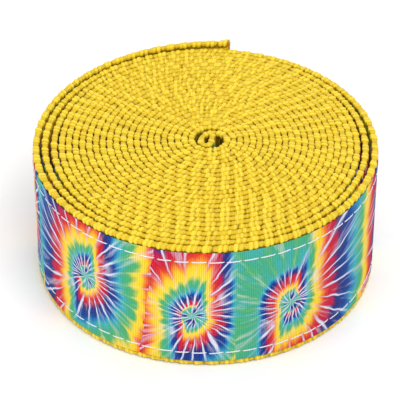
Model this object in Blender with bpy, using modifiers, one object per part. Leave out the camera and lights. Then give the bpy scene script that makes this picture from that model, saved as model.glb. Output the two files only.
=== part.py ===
"""A printed webbing strap, wound up and standing on its edge, with the last quarter turn free to peel off.

The strap is a woven polypropylene webbing with a printed ribbon sewn on its outer face by two rows of
lockstitch. It is wound into a flat spiral about the Z axis. Its free tail is cut into short lengths that
hinge on one another, so that it can unroll until it is straight.
"""

import math

import bmesh
import bpy
from mathutils import Vector

MM = 0.001

# The strap's cross-section
WEB_WIDTH = 38.1 * MM
WEB_THICKNESS = 1.30 * MM
RIBBON_WIDTH = 35.0 * MM
RIBBON_THICKNESS = 0.22 * MM
THREAD_WIDTH = 0.45 * MM
THREAD_THICKNESS = 0.10 * MM
STITCH_INSET = 2.8 * MM  # from the ribbon's edge to the middle of a row of stitches
LAYER_GAP = 0.04 * MM  # between webbing, ribbon and thread

# The roll, measured on the webbing's middle line, in steps from the strap's outer end
OUTER_RADIUS = 45.0 * MM  # at the outer end
CORE_RADIUS = 4.3 * MM  # where the spiral gives way to the folded inner end
END_BEARING = math.radians(82.0)  # of the outer end, anticlockwise from +X
STEPS_PER_TURN = 24
STEP = 2.0 * math.pi / STEPS_PER_TURN
SPIRAL_STEPS = 546
CORE_SHIFT = Vector((1.0 * MM, 1.4 * MM))  # how far the core sits off the outer turn's centre
SIDE_SLACK = 1.2 * MM  # looseness of the outer turns at the left and right
SLACK_FROM, SLACK_TO = 0.4, 3.05  # turns over which that looseness is taken up
STEP_DOWN = 0.2 * MM  # extra drop from the outer turn to the one under it
DROP_FROM, DROP_TO = 0.78, 1.1  # turns over which the strap drops

# The folded inner end: a bend's radius and turn, or None and a straight length
CORE_BENDS = (
    (3.4 * MM, math.pi),
    (None, 1.0 * MM),
    (1.35 * MM, math.pi),
    (None, 3.1 * MM),
)
BEND_STEP = math.radians(30.0)

# The free tail
TAIL_LENGTHS = 3
STEPS_PER_LENGTH = 2
TAIL_STEPS = TAIL_LENGTHS * STEPS_PER_LENGTH
TAIL_LIFT = 1.2 * MM  # how far the tip stands above the roll
TAIL_PEEL = 0.7 * MM  # how far the tip stands off the roll
PEEL_STEPS = 3
SPLIT_GAP = 0.1 * MM  # cut back from each side of a hinge
THREAD_STOP = 2.0 * MM  # from the strap's outer end to the first stitch

# How far in the sewing is modelled: the needle threads run on under the tail, where peeling bares them
NEEDLE_LAST_STEP = STEPS_PER_TURN + TAIL_STEPS + 1
BOBBIN_LAST_STEP = STEPS_PER_TURN

# Distance of each layer's middle from the webbing's middle, positive outwards
RIBBON_OFFSET = (WEB_THICKNESS + RIBBON_THICKNESS) / 2 + LAYER_GAP
NEEDLE_OFFSET = RIBBON_OFFSET + (RIBBON_THICKNESS + THREAD_THICKNESS) / 2 + LAYER_GAP
BOBBIN_OFFSET = -(WEB_THICKNESS + THREAD_THICKNESS) / 2 - LAYER_GAP
OUTER_FACE = NEEDLE_OFFSET + THREAD_THICKNESS / 2

# Height of each strip's lower edge
RIBBON_LOW = (WEB_WIDTH - RIBBON_WIDTH) / 2
LOWER_ROW = RIBBON_LOW + STITCH_INSET - THREAD_WIDTH / 2
UPPER_ROW = WEB_WIDTH - LOWER_ROW - THREAD_WIDTH

COLLECTION = "printed_web_strap_roll"


def smooth_step(value, start, end):
    """0 before start, 1 after end, and an S-curve between them."""
    t = min(max((value - start) / (end - start), 0.0), 1.0)
    return t * t * (3.0 - 2.0 * t)


def spiral_radius(steps):
    """The middle line's distance from the spiral's own centre, before the turns are squeezed at the sides."""
    fall = (OUTER_RADIUS - CORE_RADIUS - STEP_DOWN) * steps / SPIRAL_STEPS
    drop = STEP_DOWN * smooth_step(steps / STEPS_PER_TURN, DROP_FROM, DROP_TO)
    peel = TAIL_PEEL * max(0.0, 1.0 - steps / PEEL_STEPS) ** 2
    return OUTER_RADIUS - fall - drop + peel


def side_squeeze(steps, bearing):
    """How far the turns inside the loose outer ones are drawn in at the left and right."""
    taken_up = smooth_step(steps / STEPS_PER_TURN, SLACK_FROM, SLACK_TO)
    return SIDE_SLACK * taken_up * (1.0 - steps / SPIRAL_STEPS) * math.cos(bearing) ** 2


def spiral_point(steps):
    """The middle line, that many steps in from the outer end."""
    bearing = END_BEARING + steps * STEP
    radius = spiral_radius(steps)
    inwards = (OUTER_RADIUS - radius) / (OUTER_RADIUS - CORE_RADIUS)
    radius -= side_squeeze(steps, bearing)
    return CORE_SHIFT * inwards + radius * Vector((math.cos(bearing), math.sin(bearing)))


def turned(vector, angle):
    """The vector turned anticlockwise."""
    cosine, sine = math.cos(angle), math.sin(angle)
    return Vector((vector.x * cosine - vector.y * sine, vector.x * sine + vector.y * cosine))


def outward(heading):
    """The strap's outer side is on the right of the way the spiral runs."""
    return turned(heading, -math.pi / 2).normalized()


def spiral_station(steps):
    """A point of the middle line, its outward normal, and how far the strap is lifted there."""
    heading = spiral_point(steps + 0.01) - spiral_point(steps - 0.01)
    lift = TAIL_LIFT * max(0.0, 1.0 - steps / TAIL_STEPS)
    return spiral_point(steps), outward(heading), lift


def core_stations():
    """The folded inner end, walked bend by bend from the end of the spiral."""
    point = spiral_point(SPIRAL_STEPS)
    heading = (point - spiral_point(SPIRAL_STEPS - 0.01)).normalized()
    stations = []
    for radius, amount in CORE_BENDS:
        if radius is None:
            point = point + heading * amount
            stations.append((point, outward(heading), 0.0))
            continue
        count = round(amount / BEND_STEP)
        centre = point - outward(heading) * radius
        for _ in range(count):
            heading = turned(heading, amount / count)
            point = centre + outward(heading) * radius
            stations.append((point, outward(heading), 0.0))
    return stations


def steps_over(distance):
    """How many steps a distance along the outer turn takes."""
    return distance / (OUTER_RADIUS * STEP)


def cut_station(steps):
    """A station part of the way along the flat between two whole steps, so that all layers stay parallel."""
    whole = math.floor(steps)
    before, after = spiral_station(whole), spiral_station(whole + 1)
    share = steps - whole
    return [a * (1.0 - share) + b * share for a, b in zip(before, after)]


def run_of(first, last):
    """Stations from one step count to another, with every whole step between them."""
    inner = range(math.floor(first) + 1, math.ceil(last))
    return [cut_station(first), *map(spiral_station, inner), cut_station(last)]


def footprint_middle():
    """The middle of the outer turn's box, where the model's origin stands."""
    outer = [point + normal * OUTER_FACE for point, normal, _ in run_of(0, STEPS_PER_TURN)]
    return Vector([(min(values) + max(values)) / 2 for values in zip(*outer)])


def add_strip(name, stations, offset, low, size, material, hinge):
    """A flat strip on edge along the stations: an open wall that Solidify gives its thickness."""
    width, thickness = size
    start = hinge.matrix_world.translation if hinge else Vector()
    middle = footprint_middle()
    bm = bmesh.new()
    corners = []
    for point, normal, lift in stations:
        flat = point - middle + normal * offset
        corners.append(bm.verts.new(Vector((flat.x, flat.y, low + lift)) - start))
    edges = [bm.edges.new(pair) for pair in zip(corners, corners[1:])]
    wall = bmesh.ops.extrude_edge_only(bm, edges=edges)["geom"]
    raised = [item for item in wall if isinstance(item, bmesh.types.BMVert)]
    bmesh.ops.translate(bm, verts=raised, vec=(0.0, 0.0, width))
    bmesh.ops.recalc_face_normals(bm, faces=bm.faces)
    mesh = bpy.data.meshes.new(name)
    bm.to_mesh(mesh)
    bm.free()
    mesh.materials.append(material)
    mesh.shade_smooth()
    strip = bpy.data.objects.new(name, mesh)
    strip.parent = hinge
    solidify = strip.modifiers.new("thickness", "SOLIDIFY")
    solidify.thickness = thickness
    solidify.offset = 0.0
    solidify.use_even_offset = True
    bpy.data.collections[COLLECTION].objects.link(strip)
    return strip


def add_hinge(number, parent):
    """An empty on the hinge line where a tail length begins, on the strap's outermost face."""
    step = TAIL_STEPS - (number - 1) * STEPS_PER_LENGTH
    point, normal, _ = spiral_station(step)
    place = point - footprint_middle() + normal * OUTER_FACE
    empty = bpy.data.objects.new(f"tail_{number}_hinge", None)
    empty.empty_display_size = WEB_WIDTH / 4
    bpy.data.collections[COLLECTION].objects.link(empty)
    empty.parent = parent
    above = parent.matrix_world.translation if parent else Vector()
    empty.location = Vector((place.x, place.y, 0.0)) - above
    bpy.context.view_layer.update()
    return empty


def add_length(suffix, first, last, hinge, finishes, inner_end=()):
    """The six pieces of one length of strap: webbing, ribbon, and a needle and a bobbin thread in each row."""
    webbing, ribbon, thread = finishes
    whole = run_of(first, last) + list(inner_end)
    sewn_from = max(first, steps_over(THREAD_STOP))
    needle = run_of(sewn_from, min(last, NEEDLE_LAST_STEP))
    bobbin = run_of(sewn_from, min(last, BOBBIN_LAST_STEP))
    web_size = (WEB_WIDTH, WEB_THICKNESS)
    ribbon_size = (RIBBON_WIDTH, RIBBON_THICKNESS)
    thread_size = (THREAD_WIDTH, THREAD_THICKNESS)
    add_strip(f"webbing_{suffix}", whole, 0.0, 0.0, web_size, webbing, hinge)
    add_strip(f"ribbon_{suffix}", whole, RIBBON_OFFSET, RIBBON_LOW, ribbon_size, ribbon, hinge)
    for row, low in (("upper", UPPER_ROW), ("lower", LOWER_ROW)):
        add_strip(f"{row}_needle_thread_{suffix}", needle, NEEDLE_OFFSET, low, thread_size, thread, hinge)
        add_strip(f"{row}_bobbin_thread_{suffix}", bobbin, BOBBIN_OFFSET, low, thread_size, thread, hinge)


def finish(name, color, roughness):
    """A plain material for one of the strap's pieces."""
    material = bpy.data.materials.new(name)
    material.use_nodes = True
    shader = material.node_tree.nodes["Principled BSDF"]
    shader.inputs["Base Color"].default_value = (*color, 1.0)
    shader.inputs["Roughness"].default_value = roughness
    shader.inputs["Metallic"].default_value = 0.0
    return material


def clear_scene():
    """Removes what the scene starts with."""
    for obj in list(bpy.data.objects):
        bpy.data.objects.remove(obj)


def build():
    """The wound length, then the tail lengths from the roll out to the tip."""
    clear_scene()
    bpy.context.scene.collection.children.link(bpy.data.collections.new(COLLECTION))
    finishes = (
        finish("yellow_webbing", (0.85, 0.56, 0.02), 0.6),
        finish("printed_ribbon", (0.25, 0.45, 0.42), 0.7),
        finish("white_thread", (0.80, 0.80, 0.82), 0.5),
    )
    gap = steps_over(SPLIT_GAP)
    add_length("roll", TAIL_STEPS + gap, SPIRAL_STEPS, None, finishes, core_stations())
    hinge = None
    for number in range(1, TAIL_LENGTHS + 1):
        hinge = add_hinge(number, hinge)
        last = TAIL_STEPS - (number - 1) * STEPS_PER_LENGTH
        first = last - STEPS_PER_LENGTH
        start = first + gap if first else 0.0
        add_length(f"tail_{number}", start, last - gap, hinge, finishes)


build()
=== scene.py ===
"""Looks of a printed web strap, wound into a roll that stands on its edge.

A yellow woven webbing carries a tie-dye printed ribbon on its outer face, sewn on by two rows of white
lockstitch. Every piece is swept along one spiral line, the same one that the solid model follows, so a
place on the strap is a distance along it, a height up it and a depth through it. The free tail is made in
lengths that lie across the hinges.
"""

from __future__ import annotations

import logging
import math
from abc import ABC, abstractmethod
from dataclasses import dataclass, field
from enum import Enum

import bpy
import numpy as np
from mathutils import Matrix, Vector


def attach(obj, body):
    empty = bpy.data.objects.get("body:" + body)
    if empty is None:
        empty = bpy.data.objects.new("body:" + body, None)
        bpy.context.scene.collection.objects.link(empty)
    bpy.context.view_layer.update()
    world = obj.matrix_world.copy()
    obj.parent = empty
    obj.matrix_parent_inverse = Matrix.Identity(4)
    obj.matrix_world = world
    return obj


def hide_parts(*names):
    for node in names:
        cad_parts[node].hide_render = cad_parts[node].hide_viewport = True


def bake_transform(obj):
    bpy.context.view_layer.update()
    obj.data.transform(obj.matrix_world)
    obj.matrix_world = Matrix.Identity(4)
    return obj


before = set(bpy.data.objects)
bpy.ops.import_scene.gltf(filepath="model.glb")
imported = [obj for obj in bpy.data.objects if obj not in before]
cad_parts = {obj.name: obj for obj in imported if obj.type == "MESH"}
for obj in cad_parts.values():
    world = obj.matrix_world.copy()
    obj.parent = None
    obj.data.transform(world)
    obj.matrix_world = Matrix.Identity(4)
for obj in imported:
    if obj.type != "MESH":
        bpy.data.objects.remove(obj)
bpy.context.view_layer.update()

log = logging.getLogger("strap_roll")

MM = 0.001
TURN = 2.0 * math.pi


def smooth(values: np.ndarray | float, start: float, end: float) -> np.ndarray:
    """An S-curve from 0 at start to 1 at end."""
    t = np.clip((np.asarray(values, float) - start) / (end - start), 0.0, 1.0)
    return t * t * (3.0 - 2.0 * t)


def drift(along: np.ndarray, length: float, seed: int, waves: int = 4) -> np.ndarray:
    """A slow random wander between about -1 and 1.

    Args:
        along: distances along the strap.
        length: the distance over which the wander changes.
        seed: which wander it is.
        waves: how many waves of unlike lengths it is made of.

    Returns:
        The wander at each distance.
    """
    rng = np.random.default_rng(seed)
    total = np.zeros_like(along)
    for _ in range(waves):
        wave_length = length * rng.uniform(0.6, 1.4)
        total += np.sin(along * TURN / wave_length + rng.uniform(0.0, TURN)) / (0.6 * waves)
    return total


# ---- The strap's line ----


@dataclass
class StrapLine:
    """The webbing's middle line, from the outer end round the spiral to the folded inner end.

    It is walked once, when it is made, and its points are kept by their distance along it.
    """

    outer_radius: float = 45.0 * MM
    core_radius: float = 4.3 * MM
    end_bearing: float = math.radians(82.0)
    steps_per_turn: int = 24
    spiral_steps: int = 546
    core_shift: tuple[float, float] = (1.0 * MM, 1.4 * MM)
    side_slack: float = 1.2 * MM
    slack_turns: tuple[float, float] = (0.4, 3.05)
    step_down: float = 0.2 * MM
    drop_turns: tuple[float, float] = (0.78, 1.1)
    tail_steps: int = 6
    steps_per_length: int = 2
    tail_lift: float = 1.2 * MM
    tail_peel: float = 0.7 * MM
    peel_steps: int = 3
    outer_face: float = 1.05 * MM
    core_bends: tuple[tuple[float, float], ...] = (
        (3.4 * MM, math.pi),
        (0.0, 1.0 * MM),
        (1.35 * MM, math.pi),
        (0.0, 3.1 * MM),
    )
    samples_per_step: int = 16
    straight_points: int = 12
    bend_points: int = 60
    steps: np.ndarray = field(init=False, repr=False)
    distances: np.ndarray = field(init=False, repr=False)
    points: np.ndarray = field(init=False, repr=False)
    normals: np.ndarray = field(init=False, repr=False)
    lifts: np.ndarray = field(init=False, repr=False)

    def spiral(self, steps: np.ndarray) -> np.ndarray:
        """Points of the spiral.

        Args:
            steps: how many steps in from the outer end.

        Returns:
            One point across the floor for each.
        """
        bearing = self.end_bearing + steps * TURN / self.steps_per_turn
        turns = steps / self.steps_per_turn
        fall = (self.outer_radius - self.core_radius - self.step_down) * steps / self.spiral_steps
        drop = self.step_down * smooth(turns, *self.drop_turns)
        peel = self.tail_peel * np.maximum(0.0, 1.0 - steps / self.peel_steps) ** 2
        radius = self.outer_radius - fall - drop + peel
        inwards = (self.outer_radius - radius) / (self.outer_radius - self.core_radius)
        squeeze = self.side_slack * smooth(turns, *self.slack_turns)
        radius = radius - squeeze * (1.0 - steps / self.spiral_steps) * np.cos(bearing) ** 2
        ray = np.stack([np.cos(bearing), np.sin(bearing)], axis=-1)
        return np.multiply.outer(inwards, self.core_shift) + radius[..., None] * ray

    def core(self, start: np.ndarray, heading: np.ndarray) -> np.ndarray:
        """Points of the folded inner end.

        Args:
            start: the spiral's last point.
            heading: the way the strap runs there.

        Returns:
            The points that follow, bend by bend.
        """
        points = []
        angle, place = math.atan2(heading[1], heading[0]), np.array(start)
        for radius, amount in self.core_bends:
            if radius == 0.0:
                reach = np.linspace(0.0, amount, self.straight_points)[1:, None]
                run = place + reach * (math.cos(angle), math.sin(angle))
            else:
                centre = place + radius * np.array((-math.sin(angle), math.cos(angle)))
                sweep = angle + np.linspace(0.0, amount, self.bend_points)[1:]
                run = centre + radius * np.stack([np.sin(sweep), -np.cos(sweep)], axis=-1)
                angle += amount
            points.append(run)
            place = run[-1]
        return np.concatenate(points)

    def __post_init__(self) -> None:
        """Walks the line and keeps its points, outward normals and lifts."""
        count = self.spiral_steps * self.samples_per_step
        self.steps = np.linspace(0.0, self.spiral_steps, count + 1)
        spiral = self.spiral(self.steps)
        inner = self.core(spiral[-1], spiral[-1] - spiral[-2])
        line = np.concatenate([spiral, inner])
        pace = np.linalg.norm(np.diff(line, axis=0), axis=1)
        self.distances = np.concatenate([[0.0], np.cumsum(pace)])
        heading = np.stack([np.gradient(line[:, axis], self.distances) for axis in (0, 1)], axis=-1)
        heading /= np.linalg.norm(heading, axis=1)[:, None]
        self.normals = np.stack([heading[:, 1], -heading[:, 0]], axis=-1)
        lift = self.tail_lift * np.maximum(0.0, 1.0 - self.steps / self.tail_steps)
        self.lifts = np.concatenate([lift, np.zeros(len(inner))])
        self.points = line - self._middle(spiral)

    def _middle(self, spiral: np.ndarray) -> np.ndarray:
        """The middle of the roll's outline, which stands at the frame's origin.

        Args:
            spiral: the spiral's points.

        Returns:
            The point halfway across the outer turn both ways.
        """
        whole = slice(0, self.steps_per_turn * self.samples_per_step + 1, self.samples_per_step)
        outline = spiral[whole] + self.normals[: len(spiral)][whole] * self.outer_face
        return (outline.min(axis=0) + outline.max(axis=0)) / 2.0

    @property
    def length(self) -> float:
        """The whole strap's length."""
        return float(self.distances[-1])

    @property
    def spiral_distances(self) -> np.ndarray:
        """The distance along the strap at each of the kept step counts."""
        return self.distances[: len(self.steps)]

    def distance(self, steps: float) -> float:
        """The distance along the strap at a step count."""
        return float(np.interp(steps, self.steps, self.spiral_distances))

    def turns(self, along: np.ndarray) -> np.ndarray:
        """How many turns in from the outer end each distance is, the core counted as more of the last."""
        inside = np.interp(along, self.spiral_distances, self.steps) / self.steps_per_turn
        return inside + np.maximum(along - self.spiral_distances[-1], 0.0) / (TURN * self.core_radius)

    def at(self, along: np.ndarray) -> tuple[np.ndarray, np.ndarray, np.ndarray]:
        """The line at some distances.

        Args:
            along: distances from the outer end.

        Returns:
            The points, the outward normals and the lifts there.
        """
        place, normal = (
            np.stack([np.interp(along, self.distances, kept[:, axis]) for axis in (0, 1)], axis=-1)
            for kept in (self.points, self.normals)
        )
        return place, normal, np.interp(along, self.distances, self.lifts)

    def point(self, along: float, offset: float, height: float) -> Vector:
        """One point on or off the strap.

        Args:
            along: distance from the outer end.
            offset: distance outwards from the middle line.
            height: height above the strap's lower edge.

        Returns:
            The point in the frame.
        """
        place, normal, lift = self.at(np.array([along]))
        flat = place[0] + normal[0] * offset
        return Vector((flat[0], flat[1], height + lift[0]))


@dataclass(frozen=True)
class Span:
    """A stretch of the strap that is one piece of each of its layers."""

    name: str
    start: float
    end: float
    bodies: tuple[str, ...] = ("roll",)
    fine: bool = True

    @property
    def length(self) -> float:
        """How long the stretch is."""
        return self.end - self.start


@dataclass(frozen=True)
class StrapPlan:
    """Where the strap is divided: its free tail across the hinges, and the rest into lengths of roll."""

    line: StrapLine
    root_reach: float = 7.0 * MM
    front_end: float = 19.0
    outer_end: float = 31.0
    inner_lengths: int = 4

    @property
    def root(self) -> float:
        """Where the free tail lies fast on the roll."""
        return self.line.distance(self.line.tail_steps) + self.root_reach

    def tail(self) -> list[Span]:
        """The free tail's stretches, from its end to its root.

        Returns:
            The end alone, then a stretch across each hinge.
        """
        line = self.line
        lengths = line.tail_steps // line.steps_per_length
        steps = [line.tail_steps - line.steps_per_length * (number + 0.5) for number in range(lengths)]
        marks = [self.root] + [line.distance(count) for count in steps]
        bodies = ["roll"] + [f"tail_{number + 1}" for number in range(lengths)]
        found = [Span("tip", 0.0, marks[-1], (bodies[-1],))]
        for number in range(lengths, 0, -1):
            pair = (bodies[number - 1], bodies[number])
            found.append(Span(f"bend_{number}", marks[number], marks[number - 1], pair))
        return found

    def outer_turn(self) -> list[Span]:
        """The turn that shows and the start of the one under it, in two lengths."""
        front, outer = (self.line.distance(steps) for steps in (self.front_end, self.outer_end))
        return [Span("outer_front", self.root, front), Span("outer_back", front, outer)]

    def inner_turns(self) -> list[Span]:
        """The turns inside the roll.

        Returns:
            A few stretches of one length.
        """
        inside = self.inside()
        marks = [float(mark) for mark in np.linspace(inside.start, inside.end, self.inner_lengths + 1)]
        pairs = enumerate(zip(marks, marks[1:]), start=1)
        return [Span(f"inner_{number}", *pair, fine=False) for number, pair in pairs]

    def inside(self) -> Span:
        """All the turns inside the roll, as one stretch."""
        return Span("inner", self.line.distance(self.outer_end), self.line.length, fine=False)


# ---- Meshes ----


class Fields(str, Enum):
    """Values kept on every point of a mesh, for the finishes to read."""

    ALONG = "strap_along"
    HEIGHT = "strap_height"
    CREASE = "crease"
    EDGE = "edge"


@dataclass
class Rings:
    """Rings of points across a layer, one after another along the strap, that enclose a solid."""

    along: np.ndarray
    offset: np.ndarray
    height: np.ndarray
    fields: dict[Fields, np.ndarray]
    runs: int = 1

    def faces(self) -> np.ndarray:
        """Quads between the rings, and across both ends of each run of them.

        Returns:
            Four point numbers for each quad.
        """
        rings, around = self.offset.shape
        each = rings // self.runs
        ring, spot = np.meshgrid(np.arange(each - 1), np.arange(around), indexing="ij")
        beside = (spot + 1) % around
        corners = [ring * around + spot, (ring + 1) * around + spot]
        corners += [(ring + 1) * around + beside, ring * around + beside]
        walls = np.stack(corners, axis=-1).reshape(-1, 4)
        side = np.arange(around // 2 - 1)
        start = np.stack([side, side + 1, around - 2 - side, around - 1 - side], axis=-1)
        end = start[:, ::-1] + (each - 1) * around
        one = np.concatenate([walls, start, end])
        first = np.arange(self.runs)[:, None, None] * (each * around)
        return (one[None] + first).reshape(-1, 4)

    def build(self, name: str, line: StrapLine) -> bpy.types.Object:
        """The solid as an object.

        Args:
            name: the piece's name.
            line: the strap's line.

        Returns:
            The object, smooth shaded, in the scene.
        """
        place, normal, lift = line.at(self.along)
        flat = place + normal * self.offset[..., None]
        points = np.concatenate([flat, (self.height + lift)[..., None]], axis=-1).reshape(-1, 3)
        quads = self.faces()
        mesh = bpy.data.meshes.new(name)
        mesh.vertices.add(len(points))
        mesh.vertices.foreach_set("co", points.astype(np.float32).ravel())
        mesh.loops.add(quads.size)
        mesh.loops.foreach_set("vertex_index", quads.astype(np.int32).ravel())
        mesh.polygons.add(len(quads))
        mesh.polygons.foreach_set("loop_start", np.arange(0, quads.size, 4, dtype=np.int32))
        mesh.update(calc_edges=True)
        for key, values in self.fields.items():
            layer = mesh.attributes.new(key.value, "FLOAT", "POINT")
            spread = np.broadcast_to(values, self.offset.shape)
            layer.data.foreach_set("value", spread.astype(np.float32).ravel())
        mesh.shade_smooth()
        piece = bpy.data.objects.new(name, mesh)
        bpy.context.scene.collection.objects.link(piece)
        return piece


def stations(start: float, end: float, pace: float) -> np.ndarray:
    """Evenly spaced distances from start to end, about a pace apart."""
    return np.linspace(start, end, max(2, round((end - start) / pace)) + 1)


@dataclass(frozen=True)
class CutEnd:
    """The strap's heat-cut outer end: a little swollen and uneven, its upper corner turned up."""

    flare: float = 0.85 * MM
    flare_reach: float = 1.1 * MM
    corner: float = 11.0 * MM
    swell: float = 0.16
    swell_reach: float = 0.7 * MM
    unevenness: float = 0.14 * MM
    uneven_length: float = 3.1 * MM
    seed: int = 29

    def shape(self, rings: Rings, top: float) -> Rings:
        """The rings with the cut end worked into them.

        Args:
            rings: a layer's rings, from the strap's outer end.
            top: the height of the layer's upper edge.

        Returns:
            The same rings, changed near the end.
        """
        flared = self.flare * np.exp(-rings.along / self.flare_reach)
        rise = flared * smooth(rings.height, top - self.corner, top)
        melted = np.exp(-rings.along / self.swell_reach)
        ragged = self.unevenness * drift(rings.height, self.uneven_length, self.seed) * melted
        along = np.maximum(rings.along + ragged + self.unevenness, 0.0)
        return Rings(along, rings.offset * (1.0 + self.swell * melted), rings.height + rise, rings.fields)


# ---- Layers ----


@dataclass(frozen=True, kw_only=True)
class Layer:
    """A layer of the strap: its name and its slot in the solid model, its finish and its line."""

    line: StrapLine
    finish: bpy.types.Material
    layer: str
    slot: str

    def dress(self, rings: Rings, span: Span) -> bpy.types.Object:
        """One length of the layer, with its finish on, and fastened to its body where it lies on one body
        alone.

        Args:
            rings: the length's rings.
            span: the stretch of the strap that they cover.

        Returns:
            The piece, which takes the place of the solid model's piece.
        """
        piece = rings.build(f"{self.layer}_{span.name}", self.line)
        piece.data.materials.append(self.finish)
        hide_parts(f"{self.layer}_{span.bodies[-1]}")
        if len(span.bodies) == 1:
            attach(piece, span.bodies[0])
        else:
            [self.line.point(end, 0.0, 0.0) for end in (span.end, span.start)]
            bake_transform(piece)
        return piece


@dataclass(frozen=True, kw_only=True)
class WovenLayer(Layer, ABC):
    """A layer of woven goods, cut as a strip."""

    width: float
    lower_edge: float = 0.0
    cut_end: CutEnd = CutEnd()

    @abstractmethod
    def rings(self, span: Span) -> Rings:
        """The layer's rings over a stretch of the strap."""

    def build(self, span: Span) -> bpy.types.Object:
        """One length of the strip, as a finished piece.

        Args:
            span: the stretch of the strap.

        Returns:
            The piece.
        """
        rings = self.rings(span)
        if span.start == 0.0:
            rings = self.cut_end.shape(rings, self.lower_edge + self.width)
        piece = self.dress(rings, span)
        span.length
        return piece


# ---- Webbing ----


@dataclass(frozen=True)
class Strand:
    """A strand of a loop: its middle in repeats, how proud it stands, and how far down the face it runs."""

    middle: float
    rise: float
    reach: float
    half: float = 0.73 * MM


@dataclass(frozen=True)
class EdgeLoops:
    """The weft's loops round a selvage: in each repeat two strands stand proud and one is sunk.

    Each turn holds a whole number of repeats fewer than the one outside it, so the loops line up in spokes.
    """

    pitch: float = 3.70 * MM
    first_turn: float = 76.07
    fewer: float = 3.0
    strands: tuple[Strand, ...] = (
        Strand(0.335, 0.22 * MM, 0.95 * MM),
        Strand(0.665, 0.18 * MM, 0.80 * MM),
        Strand(0.0, -0.02 * MM, 0.50 * MM),
    )
    face_from: float = 0.60 * MM
    top_floor: float = 0.22 * MM
    face_floor: float = 0.40 * MM
    slant: float = 0.30 * MM
    shift: float = 0.035
    spread: float = 0.07
    unevenness: float = 0.20
    count: int = 1200
    seed: int = 11

    @property
    def most(self) -> float:
        """How far the proudest strand stands above the webbing's plain edge."""
        return max(strand.rise for strand in self.strands)

    def places(self, turns: np.ndarray) -> np.ndarray:
        """How many repeats in from the outer end, at a number of turns in."""
        return self.first_turn * turns - self.fewer * turns**2 / 2.0

    def _off_middle(self, place: np.ndarray, row: int) -> tuple[np.ndarray, np.ndarray]:
        """How far each place is from the middle of its strand, each strand a little unlike the next.

        Args:
            place: distance along the strap, in repeats, counted from between two strands.
            row: which of the repeat's strands it is.

        Returns:
            The distance, as if all strands had one breadth, and the strand's own share of the rise.
        """
        rng = np.random.default_rng(self.seed + row)
        shift = rng.normal(0.0, self.shift, self.count)
        size = rng.normal(1.0, self.spread, self.count)
        own = rng.normal(1.0, self.unevenness, self.count)
        number = np.floor(place).astype(int) % self.count
        off = (place - np.floor(place) - 0.5 + shift[number]) * self.pitch
        return off / size[number], own[number]

    def relief(self, place: np.ndarray, near: np.ndarray, up: np.ndarray) -> np.ndarray:
        """How far the strands stand out from the webbing's plain edge.

        Args:
            place: distance along the strap, in repeats, for each point.
            near: how deep below the edge each point is.
            up: how far each point faces up or down and not sideways, 0 to 1.

        Returns:
            The rise at each point, negative in the creases.
        """
        floor = self.face_floor + (self.top_floor - self.face_floor) * up
        rise = np.zeros(np.broadcast_shapes(place.shape, near.shape))
        for row, strand in enumerate(self.strands):
            off, own = self._off_middle(place - strand.middle + 0.5, row)
            fall = np.maximum(near - self.face_from, 0.0) / strand.reach
            round_over = np.sqrt(np.clip(1.0 - (off / strand.half) ** 2 - fall**2, 0.0, 1.0))
            rise = np.maximum(rise, (floor + strand.rise * own) * round_over)
        return rise - floor


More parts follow.
